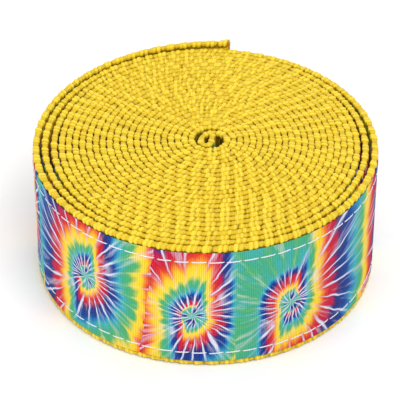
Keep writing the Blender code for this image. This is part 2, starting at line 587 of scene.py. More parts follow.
@dataclass(frozen=True, kw_only=True)
class Webbing(WovenLayer):
    """The woven strap: two looped selvages, and between them a face that the ribbon covers outside.

    The depths of its rows of points are in millimetres, and the turns of those round an edge in degrees.
    """

    layer: str = "webbing"
    slot: str = "yellow_webbing"
    width: float = 38.1 * MM
    thickness: float = 1.30 * MM
    swell: float = 0.07 * MM
    swell_fades: tuple[float, float] = (1.4 * MM, 2.2 * MM)
    shoulder: float = 0.50 * MM
    squareness: float = 0.42
    clear: float = 0.30 * MM
    face_share: float = 0.92
    face_crease: float = 0.3
    edge_fades: tuple[float, float] = (1.7 * MM, 2.4 * MM)
    wander: float = 0.16
    wander_length: float = 90.0 * MM
    wander_seed: int = 23
    loops: EdgeLoops = EdgeLoops()
    fine_depths: tuple[float, ...] = (2.4, 2.0, 1.75, 1.55, 1.36, 1.17, 0.98, 0.76)
    fine_turns: tuple[float, ...] = (0.0, 20.0, 42.0, 62.0, 82.0)
    coarse_depths: tuple[float, ...] = (1.75, 1.35, 0.95)
    coarse_turns: tuple[float, ...] = (8.0, 42.0, 78.0)
    fine_pace: float = 0.2067 * MM
    coarse_pace: float = 0.27 * MM

    def _half_section(self, fine: bool) -> tuple[np.ndarray, ...]:
        """The outer half of the cross-section, from the lower edge up to the upper one.

        Args:
            fine: whether the edges are worked closely.

        Returns:
            Offset, height, the normal's share outwards and its share upwards, depth from the nearer
            edge, and 1 on the upper edge, row by row.
        """
        turns = np.radians(self.fine_turns if fine else self.coarse_turns)
        depths = np.array(self.fine_depths if fine else self.coarse_depths) * MM
        half = self.thickness / 2.0
        sides = half + self.swell * (1.0 - smooth(depths, *self.swell_fades))
        offset = np.concatenate([sides, (half + self.swell) * np.cos(turns) ** self.squareness])
        depth = np.concatenate([depths, self.shoulder * (1.0 - np.sin(turns) ** self.squareness)])
        out = np.concatenate([np.full(len(depths), self.face_share), self.face_share * np.cos(turns)])
        up = np.concatenate([np.zeros(len(depths)), np.sin(turns)])
        heights = np.concatenate([(self.clear + depth)[::-1], self.width - self.clear - depth])
        upper = np.repeat([0.0, 1.0], len(depth))
        offsets, outs, near = (np.concatenate([row[::-1], row]) for row in (offset, out, depth))
        return offsets, heights, outs, np.concatenate([-up[::-1], up]), near, upper

    def rings(self, span: Span) -> Rings:
        """The webbing's rings over a stretch of the strap.

        Args:
            span: the stretch.

        Returns:
            The rings, with the loops of both selvages on them.
        """
        places = stations(span.start, span.end, self.fine_pace if span.fine else self.coarse_pace)
        offset, height, out, up, near, upper = self._half_section(span.fine)
        offset, out = (np.concatenate([row, -row[::-1]]) for row in (offset, out))
        height, up, near, upper = (np.concatenate([row, row[::-1]]) for row in (height, up, near, upper))
        slanted = places[:, None] + self.loops.slant * (offset / self.thickness)[None, :]
        loop_place = self.loops.places(self.line.turns(slanted)) + np.where(upper > 0.5, 0.0, 0.5)
        sway = self.wander * drift(places, self.wander_length, self.wander_seed)
        edge = 1.0 - smooth(near, *self.edge_fades)
        facing_up = np.abs(up)[None, :] ** 2
        rise = self.loops.relief(loop_place + sway[:, None], near[None, :], facing_up) * edge
        # The crease value is how deep each point lies below the proudest strand near the edges, and a fixed
        # value on the face; the yarn's finish paints shade by it.
        depth = (self.loops.most - rise) / (self.loops.most + self.loops.top_floor)
        fields = {
            Fields.ALONG: slanted,
            Fields.HEIGHT: np.broadcast_to(height, rise.shape),
            Fields.CREASE: np.clip(depth, 0.0, 1.0) * edge + self.face_crease * (1.0 - edge),
            Fields.EDGE: np.broadcast_to(edge, rise.shape),
        }
        along = np.broadcast_to(places[:, None], rise.shape)
        return Rings(along, offset + out * rise, height + up * rise, fields)


# ---- Stitching ----


@dataclass(frozen=True, kw_only=True)
class StitchRow(Layer):
    """One thread of a lockstitch row, seen as a line of stitches that dive into the cloth at each end."""

    row_height: float
    surface: float
    side: float
    last_step: float
    slot: str = "white_thread"
    pitch: float = 4.25 * MM
    first: float = 2.0 * MM
    half_length: float = 1.86 * MM
    length_spread: float = 0.04
    half_width: float = 0.165 * MM
    half_thickness: float = 0.125 * MM
    thinnest: float = 0.015
    bluntness: int = 9
    bedding: float = 0.55
    dive: float = 0.16 * MM
    dive_bend: int = 7
    tilt: float = 0.10 * MM
    tilt_spread: float = 0.5
    stray: float = 0.05 * MM
    twist: float = 0.95 * MM
    ply_depth: float = 0.13
    across: int = 22
    around: int = 10
    seed: int = 5

    def middles(self) -> np.ndarray:
        """The middle of every stitch, as a distance along the strap."""
        count = int((self.line.distance(self.last_step) - self.first) / self.pitch)
        return self.first + self.pitch * (np.arange(count) + 0.5)

    def rings(self, span: Span) -> Rings | None:
        """The stitches whose middles lie in a stretch.

        Args:
            span: the stretch.

        Returns:
            Their rings, one run of them to a stitch, or None where there are no stitches.
        """
        every = self.middles()
        rng = np.random.default_rng(self.seed)
        lean, size, aside = (rng.normal(0.0, 1.0, len(every)) for _ in range(3))
        here = (every >= span.start) & (every < span.end)
        if not here.any():
            return None
        middle, lean, size, aside = (row[here][:, None, None] for row in (every, lean, size, aside))
        run = np.sin(np.linspace(-1.0, 1.0, self.across) * math.pi / 2.0)[None, :, None]
        turn = ((np.arange(self.around) + 0.5) * TURN / self.around)[None, None, :]
        along = middle + run * self.half_length * (1.0 + self.length_spread * size)
        ply = 1.0 + self.ply_depth * np.cos(2.0 * (turn - along * TURN / self.twist / 2.0))
        taper = np.sqrt(np.clip(1.0 - np.abs(run) ** self.bluntness, self.thinnest, 1.0)) * ply
        sunk = self.surface + self.bedding * self.half_thickness - self.dive * np.abs(run) ** self.dive_bend
        offset = self.side * (sunk + self.half_thickness * taper * np.cos(turn) * self.side)
        slope = self.tilt * (1.0 + self.tilt_spread * lean) * run + self.stray * aside
        height = self.row_height + slope + self.half_width * taper * np.sin(turn)
        shape = np.broadcast_shapes(along.shape, offset.shape, height.shape)
        rows = (shape[0] * shape[1], shape[2])
        # The crease value is how far into the groove between the plies each point lies; the thread's finish
        # paints shade by it.
        parts = (along, offset, height, 1.0 - ply)
        along, offset, height, crease = (np.broadcast_to(part, shape).reshape(rows) for part in parts)
        fields = {Fields.ALONG: along, Fields.HEIGHT: height, Fields.CREASE: crease}
        return Rings(along, offset, height, fields, shape[0])

    def build(self, span: Span) -> bpy.types.Object | None:
        """One length of the thread as a finished piece, or None where it has no stitch."""
        rings = self.rings(span)
        return None if rings is None else self.dress(rings, span)


# ---- Ribbon ----


@dataclass(frozen=True, kw_only=True)
class Ribbon(WovenLayer):
    """The printed ribbon: fine upright ribs, drawn down where the stitches pull on it.

    Its rows of points are given from an edge, in millimetres.
    """

    stitches: StitchRow
    layer: str = "ribbon"
    slot: str = "printed_ribbon"
    width: float = 35.0 * MM
    thickness: float = 0.22 * MM
    lower_edge: float = 1.55 * MM
    offset: float = 0.80 * MM
    rim: float = 0.05 * MM
    rim_share: float = 0.45
    row_inset: float = 2.80 * MM
    rib_pitch: float = 0.47 * MM
    rib_rise: float = 0.022 * MM
    rib_fades: tuple[float, float] = (-0.1 * MM, 0.3 * MM)
    dimple: float = 0.09 * MM
    dimple_reach: float = 0.42 * MM
    pucker: float = 0.045 * MM
    pucker_reach: float = 1.5 * MM
    swim: float = 0.05 * MM
    swim_length: float = 21.0 * MM
    swim_seed: int = 17
    margin_rows: tuple[float, ...] = (0.0, 0.10, 0.55, 1.9, 2.4, 2.8, 3.2, 3.7, 5.6)
    coarse_rows: tuple[float, ...] = (0.0, 0.15)
    fine_pace: float = 0.1175 * MM
    coarse_pace: float = 0.8 * MM

    def _relief(self, along: np.ndarray, height: np.ndarray) -> np.ndarray:
        """How far the outer face stands out from flat, in ribs, dimples and puckers.

        Args:
            along: distances along the strap.
            height: heights above the ribbon's lower edge.

        Returns:
            The relief at each place.
        """
        relief = self.rib_rise * np.cos(along * TURN / self.rib_pitch)
        place = (along - self.stitches.first) / self.stitches.pitch
        to_needle = (place - np.round(place)) * self.stitches.pitch
        for row in (self.row_inset, self.width - self.row_inset):
            off = height - row
            hole = np.exp(-(to_needle**2 + off**2) / self.dimple_reach**2)
            wave = np.exp(-((off / self.pucker_reach) ** 2)) * np.cos(place * TURN)
            relief = relief - self.dimple * hole - self.pucker * wave
        return relief

    def rings(self, span: Span) -> Rings:
        """The ribbon's rings over a stretch of the strap.

        Args:
            span: the stretch.

        Returns:
            The rings, ribbed on their outer side where the stretch is a fine one.
        """
        places = stations(span.start, span.end, self.fine_pace if span.fine else self.coarse_pace)[:, None]
        low = np.array(self.margin_rows if span.fine else self.coarse_rows) * MM
        half_rows = np.concatenate([low, (self.width - low)[::-1]])
        height = np.concatenate([half_rows, half_rows[::-1]])[None, :]
        side = np.repeat([1.0, -1.0], len(half_rows))[None, :]
        near = np.minimum(height, self.width - height)
        half = self.thickness / 2.0 * np.where(near < self.rim, self.rim_share, 1.0)
        relief = np.zeros((len(places), height.shape[1]))
        if span.fine:
            relief = self._relief(places, height) * (side > 0.0) * smooth(near, *self.rib_fades)
        swim = self.swim * drift(places, self.swim_length, self.swim_seed)
        along = np.broadcast_to(places, relief.shape)
        heights = self.lower_edge + height + np.broadcast_to(swim, relief.shape)
        fields = {Fields.ALONG: along, Fields.HEIGHT: heights, Fields.CREASE: np.zeros_like(relief)}
        return Rings(along, self.offset + side * half + relief, heights, fields)


# ---- Finishes ----


def shade(red: int, green: int, blue: int) -> tuple[float, ...]:
    """A colour given in the usual 0 to 255 screen values.

    Args:
        red: how much red.
        green: how much green.
        blue: how much blue.

    Returns:
        The linear light that a shader takes, opaque.
    """
    parts = [value / 255.0 for value in (red, green, blue)]
    linear = [part / 12.92 if part <= 0.04045 else ((part + 0.055) / 1.055) ** 2.4 for part in parts]
    return (*linear, 1.0)


class Term:
    """A shader socket that takes part in sums the way a number does."""

    def __init__(self, paint: Paint, socket: bpy.types.NodeSocket) -> None:
        """Wraps a socket of a paint's node tree."""
        self.paint = paint
        self.socket = socket

    def _math(self, operation: str, *inputs: Input) -> Term:
        """A Math node on values."""
        return self.paint.node("ShaderNodeMath", {"operation": operation}, dict(enumerate(inputs)))

    def _sum(self, operation: str, first: Input, second: Input) -> Term:
        """The node that joins two inputs: Mix for colours, Vector Math for vectors, Math for values.

        Args:
            operation: ADD, SUBTRACT, MULTIPLY or DIVIDE.
            first: what stands before the sign.
            second: what stands after it.

        Returns:
            The result.
        """
        kinds = {item.socket.type for item in (first, second) if isinstance(item, Term)}
        if "RGBA" in kinds:
            return self.paint.mix(first, second, 1.0, operation)
        if "VECTOR" in kinds:
            return self.paint.node("ShaderNodeVectorMath", {"operation": operation}, {0: first, 1: second})
        return self._math(operation, first, second)

    def __add__(self, other: Input) -> Term:
        """The sum of two terms."""
        return self._sum("ADD", self, other)

    def __radd__(self, other: Input) -> Term:
        """The sum of a number and a term."""
        return self._sum("ADD", other, self)

    def __sub__(self, other: Input) -> Term:
        """The difference of two terms."""
        return self._sum("SUBTRACT", self, other)

    def __rsub__(self, other: Input) -> Term:
        """The difference of a number and a term."""
        return self._sum("SUBTRACT", other, self)

    def __mul__(self, other: Input) -> Term:
        """The product of two terms."""
        return self._sum("MULTIPLY", self, other)

    def __rmul__(self, other: Input) -> Term:
        """The product of a number and a term."""
        return self._sum("MULTIPLY", other, self)

    def __truediv__(self, other: Input) -> Term:
        """The quotient of two terms."""
        return self._sum("DIVIDE", self, other)

    def __rtruediv__(self, other: Input) -> Term:
        """The quotient of a number and a term."""
        return self._sum("DIVIDE", other, self)

    def __neg__(self) -> Term:
        """The term with its sign changed."""
        return self._sum("MULTIPLY", self, -1.0)

    def __pow__(self, power: Input) -> Term:
        """The term raised to a power."""
        return self._math("POWER", self, power)

    def __lt__(self, other: Input) -> Term:
        """1 where the term is the smaller one."""
        return self._math("LESS_THAN", self, other)

    def __gt__(self, other: Input) -> Term:
        """1 where the term is the greater one."""
        return self._math("GREATER_THAN", self, other)

    def part(self) -> Term:
        """The fraction left above the whole number."""
        return self._math("FRACT", self)

    def whole(self) -> Term:
        """The whole number below the term."""
        return self._math("FLOOR", self)

    def cosine(self) -> Term:
        """The cosine of the term."""
        return self._math("COSINE", self)

    def size(self) -> Term:
        """The term without its sign."""
        return self._math("ABSOLUTE", self)

    def root(self) -> Term:
        """The square root of the term."""
        return self._math("SQRT", self)

    def log(self) -> Term:
        """The natural logarithm of the term."""
        return self._math("LOGARITHM", self, math.e)

    def angle_from(self, beside: Term) -> Term:
        """The angle whose height is this term and whose width is the other."""
        return self._math("ARCTAN2", self, beside)

    def at_least(self, other: Input) -> Term:
        """The larger of this and the other."""
        return self._math("MAXIMUM", self, other)

    def at_most(self, other: Input) -> Term:
        """The smaller of this and the other."""
        return self._math("MINIMUM", self, other)

    def wrapped(self, half: float) -> Term:
        """The term brought between minus half and half by whole turns."""
        return self._math("WRAP", self, half, -half)

    def off_middle(self) -> Term:
        """How far the term's fraction is from a half, from 0 to 1."""
        return (self.part() - 0.5).size() * 2.0

    def wave(self) -> Term:
        """A wave from 0 to 1 that crests at every whole number."""
        return (self * TURN).cosine() * 0.5 + 0.5

    def step(self, start: float, end: float) -> Term:
        """An S-curve from 0 at start to 1 at end."""
        inputs = {"Value": self, "From Min": start, "From Max": end}
        return self.paint.node("ShaderNodeMapRange", {"interpolation_type": "SMOOTHSTEP"}, inputs)

    def within(self, marks: tuple[float, float, float, float]) -> Term:
        """1 between the middle two marks, and fading to 0 at the first and the last."""
        return self.step(*marks[:2]) * self.step(*marks[:1:-1])

    def choose(self, other: Input, share: Input) -> Term:
        """This term where the share is 0, and the other where it is 1."""
        return self + (other - self) * share


Input = Term | float | tuple[float, ...]
"""What a node's socket takes: a term that is linked to it, or a value."""


class Paint:
    """A material under construction, and the nodes it is made of."""

    def __init__(self, name: str) -> None:
        """Starts an empty material.

        Args:
            name: the material's name.
        """
        self.material = bpy.data.materials.new(name)
        self.material.use_nodes = True
        self.tree = self.material.node_tree
        self.tree.nodes.clear()

    def node(
        self, kind: str, settings: dict[str, object], inputs: dict[str | int, Input], output: int | str = 0
    ) -> Term:
        """Adds any node.

        Args:
            kind: the node's type.
            settings: its properties, which are set first.
            inputs: a value or a term for each of its sockets.
            output: the socket that is wanted from it.

        Returns:
            That socket as a term.
        """
        made = self.tree.nodes.new(kind)
        for key, value in settings.items():
            setattr(made, key, value)
        for key, value in inputs.items():
            if isinstance(value, Term):
                self.tree.links.new(value.socket, made.inputs[key])
            else:
                made.inputs[key].default_value = value
        return Term(self, made.outputs[output])

    def read(self, key: Fields) -> Term:
        """A value that the mesh keeps on its points."""
        return self.node("ShaderNodeAttribute", {"attribute_name": key.value}, {}, "Fac")

    def strap_place(self) -> tuple[Term, Term]:
        """Distance along the strap and height on it, both in millimetres."""
        return self.read(Fields.ALONG) / MM, self.read(Fields.HEIGHT) / MM

    def place(self, across: Input, up: Input = 0.0, out: Input = 0.0) -> Term:
        """A point to read a texture at."""
        return self.node("ShaderNodeCombineXYZ", {}, {0: across, 1: up, 2: out})

    def noise(self, place: Term, scale: float, detail: float = 2.0, roughness: float = 0.5) -> Term:
        """Cloudy noise from 0 to 1."""
        inputs = {"Vector": place, "Scale": scale, "Detail": detail, "Roughness": roughness}
        return self.node("ShaderNodeTexNoise", {}, inputs, "Fac")

    def chance(self, number: Term, row: Term) -> Term:
        """A random value from 0 to 1 for each whole number in each row."""
        inputs = {"Vector": self.place(number, row)}
        return self.node("ShaderNodeTexWhiteNoise", {"noise_dimensions": "2D"}, inputs)

    def mix(self, first: Input, second: Input, share: Input, blend: str = "MIX") -> Term:
        """Two colours mixed.

        Args:
            first: the colour where the share is 0.
            second: the colour where it is 1.
            share: how much of the second.
            blend: how they mix.

        Returns:
            The mixed colour.
        """
        pair = [(item,) * 3 + (1.0,) if isinstance(item, (int, float)) else item for item in (first, second)]
        inputs = {0: share, 6: pair[0], 7: pair[1]}
        return self.node("ShaderNodeMix", {"data_type": "RGBA", "blend_type": blend}, inputs, 2)

    def scale_of(self, value: Term, stops: tuple[tuple[float, tuple[float, ...]], ...]) -> Term:
        """A colour read from a run of colour stops.

        Args:
            value: where on the run, 0 to 1.
            stops: places and their colours.

        Returns:
            The colour.
        """
        made = self.node("ShaderNodeValToRGB", {}, {"Fac": value}, "Color")
        run = made.socket.node.color_ramp.elements
        while len(run) < len(stops):
            run.new(1.0)
        for element, (spot, colour) in zip(run, stops):
            element.position = spot
        for element, (_, colour) in zip(run, stops):
            element.color = colour
        return made

    def bump(self, height: Term, distance: float, strength: float = 1.0) -> Term:
        """The surface's normal, tilted by a height."""
        inputs = {"Height": height, "Distance": distance, "Strength": strength}
        return self.node("ShaderNodeBump", {}, inputs, "Normal")

    def surface(self, varying: dict[str, Term], constant: dict[str, object]) -> bpy.types.Material:
        """Ends the material with its shader.

        Args:
            varying: terms for the sockets that change over the surface.
            constant: values for the ones that don't.

        Returns:
            The material.
        """
        shader = self.node("ShaderNodeBsdfPrincipled", {}, {**constant, **varying}, "BSDF")
        end = self.tree.nodes.new("ShaderNodeOutputMaterial")
        self.tree.links.new(shader.socket, end.inputs["Surface"])
        return self.material


@dataclass(frozen=True)
class WebbingYarn:
    """Bright yellow filament yarn: painted highlight on its crests, painted shade in its creases, fine fibres
    along each loop.

    Pitches are in millimetres.
    """

    # The crest colour is a painted highlight on the tops of the loops; the crease colour is painted shade in
    # the creases and between the warp cords.
    crest_highlight: tuple[float, ...] = shade(250, 221, 50)
    body: tuple[float, ...] = shade(230, 193, 10)
    crease: tuple[float, ...] = shade(172, 134, 2)
    melted: tuple[float, ...] = shade(206, 150, 24)
    melted_fades: tuple[float, float] = (0.1, 0.75)
    roughness: float = 0.40
    fibre_pitch: float = 0.26
    yarn_pitch: float = 0.62
    cord_pitch: float = 1.25
    float_pitch: float = 3.72
    relief_depth: float = 0.16 * MM

    def material(self) -> bpy.types.Material:
        """The finish as a material.

        Returns:
            The material, which shows looped weft near the edges and warp cords on the face.
        """
        paint = Paint("webbing_yarn")
        along, height = paint.strap_place()
        crease, edge = paint.read(Fields.CREASE), paint.read(Fields.EDGE)
        face = 1.0 - edge
        tone = paint.noise(paint.place(along, height), 0.35, 3.0)
        wander = paint.noise(paint.place(along, height, 4.0), 1.6, 2.0) - 0.5
        fibre = paint.noise(paint.place(along / self.fibre_pitch + wander * 3.0, height * 0.8), 1.0, 2.0)
        grain = paint.noise(paint.place(along * 0.7, height / self.fibre_pitch, 9.0), 1.0, 2.0)
        yarn = (along / self.yarn_pitch + wander * 0.8).wave()
        cord = height / self.cord_pitch
        float_end = (along / self.float_pitch + cord.whole() * 0.5).off_middle()
        off_cord = cord.off_middle()
        warp = (1.0 - off_cord * off_cord) * (1.0 - (float_end**4.0) * 0.7)

        # Painted highlight on the loop crests, going over to painted shade deep in the creases, by the crease
        # depth.
        weft_lit_and_shaded = paint.mix(self.crest_highlight, self.body, crease.step(0.02, 0.4))
        weft_lit_and_shaded = paint.mix(weft_lit_and_shaded, self.crease, crease.step(0.55, 1.1))
        # Painted shade between the warp cords and where the floats end.
        warp_shaded = paint.mix(self.crease, self.body, warp.step(0.0, 0.7))
        colour = paint.mix(warp_shaded, weft_lit_and_shaded, edge)
        colour = colour * (0.70 + tone * 0.20 + fibre.choose(grain, face) * 0.34)
        colour = paint.mix(self.melted, colour, along.step(*self.melted_fades))
        # Painted shade in the grooves between the yarns of the loops.
        colour = colour * (0.90 + (yarn * edge + face) * 0.10)
        relief = (fibre * 0.9 + yarn * 0.8) * edge + (warp + grain * 0.25) * face
        varying = {
            "Base Color": colour,
            "Roughness": self.roughness + crease * 0.2 + tone * 0.1,
            "Normal": paint.bump(relief, self.relief_depth, 0.8),
        }
        constant = {"Sheen Weight": 0.06, "Sheen Roughness": 0.4, "Specular IOR Level": 0.35}
        return paint.surface(varying, constant)


@dataclass(frozen=True)
class Burst:
    """One starburst of the print: its place along the ribbon and its rise from the middle, in millimetres.

    It has a hold on the ground between it and its neighbours, a turn of its spiral, and a distance on its
    left from which the dye is plain green.
    """

    along: float
    rise: float
    hold: float
    turned: float
    calm_from: float = 99.0


@dataclass
class Ground:
    """A place on the print as its own burst sees it, in millimetres.

    It lies across from the burst's middle and up from it. The burst is turned, and calm from a distance
    on its left. The margin is what is left to the next burst's ground. The core is 1 in the burst's heart,
    left is 1 on its left, and the slope is the height above its middle, turned over on the left.
    """

    paint: Paint
    across: Term
    up: Term
    turned: Term
    calm: Term
    margin: Term
    core_fades: tuple[float, float]
    reach: Term = field(init=False)
    angle: Term = field(init=False)
    core: Term = field(init=False)
    left: Term = field(init=False)
    slope: Term = field(init=False)
    ray: tuple[Term, Term, Term] = field(init=False)

    def __post_init__(self) -> None:
        """Works out how far from the burst's middle the place lies, and which way."""
        self.reach = (self.across * self.across + self.up * self.up + 0.01).root()
        self.angle = self.up.angle_from(self.across) / TURN
        self.core = self.reach.step(*self.core_fades)
        self.left = self.across < 0.0
        self.slope = self.up.choose(-self.up, self.left)
        self.ray = (self.across / self.reach, self.up / self.reach, self.reach.log())

    def streaks(self, fineness: float, pace: float, layer: float = 0.0, roughness: float = 0.5) -> Term:
        """Noise drawn out from the burst's middle.

        Args:
            fineness: how fine it is round the middle.
            pace: how fast it changes outwards.
            layer: which of such noises it is.
            roughness: how much of its finer part shows.

        Returns:
            The noise, from 0 to 1.
        """
        side, rise, spread = self.ray
        place = self.paint.place(side * fineness, rise * fineness, spread * pace + layer)
        return self.paint.noise(place, 1.0, 2.0, roughness)


@dataclass(frozen=True)
class Petals:
    """How the dye is parted round a burst.

    The number picks a petal, the bulge is 1 along its middle and 0 between two, and few counts the broader
    rays of the heart. The curl, the fine streaks and the patches are noises that run out from the middle.
    """

    number: Term
    bulge: Term
    few: Term
    curl: Term
    fine: Term
    patchy: Term


@dataclass(frozen=True)
class TieDyePrint:
    """Spiral starbursts of dye on white ribbon, with pale creases running out from each middle.

    Lengths are in millimetres. A round of the dyes is all of them once, from yellow to yellow.
    """

    repeat: float = 166.0
    middle_height: float = 19.05
    sway_fineness: float = 0.16
    sway: float = 1.6
    opening: float = 1.6
    hurry_from: float = 25.0
    hurry: float = 0.033
    petals: float = 25.0
    apart: float = 56.0
    rib_pitch: float = 0.47
    weft_pitch: float = 0.36
    speck: float = 0.3
    bursts: tuple[Burst, ...] = (
        Burst(79.5, 0.0, -189.0, 0.21),
        Burst(113.3, 1.0, 176.0, 0.32),
        Burst(142.7, -2.6, 0.0, 0.235),
        Burst(167.9, -2.6, 90.0, 0.84, 8.2),
    )
    dyes: tuple[tuple[float, tuple[float, ...]], ...] = (
        (0.00, shade(248, 218, 50)),
        (0.10, shade(252, 206, 40)),
        (0.17, shade(244, 138, 38)),
        (0.23, shade(222, 62, 38)),
        (0.29, shade(206, 26, 48)),
        (0.39, shade(192, 16, 74)),
        (0.44, shade(92, 30, 104)),
        (0.48, shade(22, 44, 124)),
        (0.61, shade(8, 66, 152)),
        (0.68, shade(34, 136, 186)),
        (0.74, shade(62, 176, 184)),
        (0.81, shade(66, 172, 134)),
        (0.91, shade(84, 178, 104)),
        (1.00, shade(248, 218, 50)),
    )
    undyed: tuple[float, ...] = shade(226, 226, 244)
    veins: tuple[tuple[float, float], ...] = (
        (0.00, 0.08),
        (0.15, 0.16),
        (0.27, 0.60),
        (0.42, 1.00),
        (0.62, 1.00),
        (0.72, 0.40),
        (0.85, 0.14),
        (1.00, 0.08),
    )
    least_reach: float = 0.05
    green: float = 0.87
    heart_dyes: tuple[float, float] = (0.79, 0.50)
    heart_second: float = 0.62
    few_share: float = 0.44
    core_fades: tuple[float, float] = (4.0, 1.8)
    inner_fades: tuple[float, float] = (7.0, 2.5)
    outer_fades: tuple[float, float] = (7.0, 24.0)
    border_fades: tuple[float, float] = (3.0, 0.0)
    border_push: float = 0.13
    bulge_push: float = 0.08
    petal_spread: float = 0.08
    streak_push: float = 0.12
    bare_up: tuple[float, float, float, float] = (1.0, 3.5, 6.0, 9.0)
    bare_across: tuple[float, float, float, float] = (3.5, 5.0, 6.5, 9.5)
    bare: float = 0.6
    palest: float = 0.96
    roughness: float = 0.55
    relief_depth: float = 0.035 * MM

    def _ground(self, paint: Paint, along: Term, height: Term) -> Ground:
        """The place as the burst that it belongs to sees it.

        Args:
            paint: the material under construction.
            along: distance along the strap.
            height: height on the strap.

        Returns:
            The ground there.
        """
        best = None
        uneven = (paint.noise(paint.place(along, height, 3.0), 0.25, 1.0) - 0.5) * 2.0
        for burst in self.bursts:
            across = (along - burst.along).wrapped(self.repeat / 2.0)
            up = height - (self.middle_height + burst.rise)
            score = (across + uneven) * (across + uneven) + up * up - burst.hold
            seen = (score, across, up, across * 0.0 + burst.turned, across * 0.0 + burst.calm_from)
            if best is None:
                best, second = seen, score + self.repeat**2
                continue
            nearer = score < best[0]
            second = second.at_most(score.at_least(best[0]))
            best = tuple(old.choose(new, nearer) for old, new in zip(best, seen))
        return Ground(paint, *best[1:], (second - best[0]) / self.apart, self.core_fades)

    def _winding(self, distance: Term) -> Term:
        """How many rounds of all the dyes have gone by at a distance from the middle."""
        beyond = (distance - self.hurry_from).at_least(0.0)
        return distance.at_least(self.least_reach).log() / self.opening + beyond * self.hurry

    def _petals(self, ground: Ground) -> Petals:
        """How the dye is parted round the ground's burst.

        Args:
            ground: the ground.

        Returns:
            The petals, crowded in some places and loose in others.
        """
        paint, (side, rise, spread) = ground.paint, ground.ray
        crowd = paint.noise(paint.place(side * 1.3, rise * 1.3, ground.turned * 20.0), 1.0, 1.0) - 0.5
        curl = ground.streaks(2.5, 1.2) - 0.5
        petal = ground.angle * self.petals + crowd * 2.0 + curl * 0.4 + spread * 0.45
        return Petals(
            number=((petal / self.petals).part() * self.petals).whole(),
            bulge=1.0 - petal.off_middle() ** 2.0,
            few=petal * self.few_share,
            curl=curl,
            fine=ground.streaks(11.0, 1.6, roughness=0.6) - 0.5,
            patchy=ground.streaks(3.0, 2.2, 3.0),
        )

    def _plain(self, ground: Ground) -> Term:
        """Where the dye is plain green: left of a calm burst, and above it.

        Args:
            ground: the ground.

        Returns:
            1 in the green, 0 out of it.
        """
        across, up, calm = ground.across, ground.up, ground.calm
        above = ((across * across + up * up * 0.64).root() - calm).step(-1.5, 2.0)
        beside = (-across - calm).step(-1.5, 2.0)
        return beside.at_least(above * across.step(4.5, 1.0) * up.step(-4.0, 2.0))

    def _dye(self, ground: Ground, petals: Petals, plain: Term, sway: Term) -> Term:
        """Which dye lies there: in a spiral round the burst, which runs into columns in two quarters.

        Args:
            ground: the ground.
            petals: how the dye is parted.
            plain: 1 where it is plain green.
            sway: the unevenness of the ground.

        Returns:
            The place on a round of the dyes, 0 to 1.
        """
        paint, across, reach, core = ground.paint, ground.across, ground.reach, ground.core
        spiral = self._winding(reach) + ground.angle + ground.turned
        column = self._winding(across.size()) + ground.turned + ground.left * 0.5
        turn = spiral.choose((spiral - 1.0 + ground.left).at_least(column), ground.slope > 0.0)
        turn = turn + ground.margin.step(*self.border_fades) * across.step(1.0, 5.0) * self.border_push
        turn = turn.choose((turn - self.green + 0.5).whole() + self.green + sway * 0.25, plain)
        first, second = self.heart_dyes
        picked = paint.chance(petals.few.whole(), ground.turned) > self.heart_second
        heart = (petals.curl * 0.5 + first).choose(second, picked * reach.step(1.0, 1.5))
        turn = turn.choose((turn - 0.3).whole() + heart, core)
        uneven = (paint.chance(petals.number, ground.turned) - 0.5) * self.petal_spread
        pushed = petals.fine * (1.0 - core) * self.streak_push - petals.bulge * (1.0 - core) * self.bulge_push
        return (turn + uneven + pushed + 10.0).part()

    def _pale(self, ground: Ground, petals: Petals, plain: Term, dye: Term) -> Term:
        """How much of the white ribbon shows through the dye.

        Args:
            ground: the ground.
            petals: how the dye is parted.
            plain: 1 where it is plain green.
            dye: the place on a round of the dyes.

        Returns:
            0 under full dye, and nearly 1 where a crease kept it out.
        """
        paint, outside, far = ground.paint, 1.0 - ground.core, ground.across.size()
        stops = tuple((spot, (value,) * 3 + (1.0,)) for spot, value in self.veins)
        strength = paint.node("ShaderNodeRGBToBW", {}, {0: paint.scale_of(dye, stops)})
        inner, outer = ground.reach.step(*self.inner_fades), ground.reach.step(*self.outer_fades)
        gap = (1.0 - petals.bulge + petals.patchy * 0.4 + inner * 0.32 - outer * 0.14).step(0.74, 1.04)
        between = gap * strength * (1.0 - plain * 0.8) * outside
        streaks = petals.fine.step(0.02, 0.24) * (0.34 + strength * 0.10) * outside
        heart = ground.core * (1.0 - (1.0 - petals.few.off_middle()).step(0.1, 0.45)) * 0.85
        around = inner * gap * outside * 0.4
        patch = ground.slope.within(self.bare_up) * far.within(self.bare_across) * self.bare
        patch = patch * petals.patchy.step(0.36, 0.60)
        return (between + streaks + heart + around + patch).at_most(self.palest)

    def _cloth_and_rib_shade(self, paint: Paint, along: Term, height: Term, colour: Term) -> tuple[Term, Term, Term]:
        """The print as it looks on ribbed cloth, with painted shade in the valleys between the ribs and
        between the weft rows.

        Args:
            paint: the material under construction.
            along: distance along the strap.
            height: height on the strap.
            colour: the print's colour.

        Returns:
            The colour with painted valley shade and the cloth's specks in it, the cloth's relief and its
            specks.
        """
        rib, weft = (along / self.rib_pitch).wave(), (height / self.weft_pitch).wave()
        speck = paint.noise(paint.place(along / self.speck, height / self.speck), 1.0, 1.0)
        # Painted shade in the valleys between the ribs and between the weft rows, with random specks.
        colour = colour * (0.62 + rib * 0.26 + weft * 0.08 + speck * 0.14)
        colour = paint.mix(colour, self.undyed, rib * speck.step(0.5, 0.8) * 0.14)
        return colour, rib * 0.6 + weft * 0.25 + speck * 0.3, speck

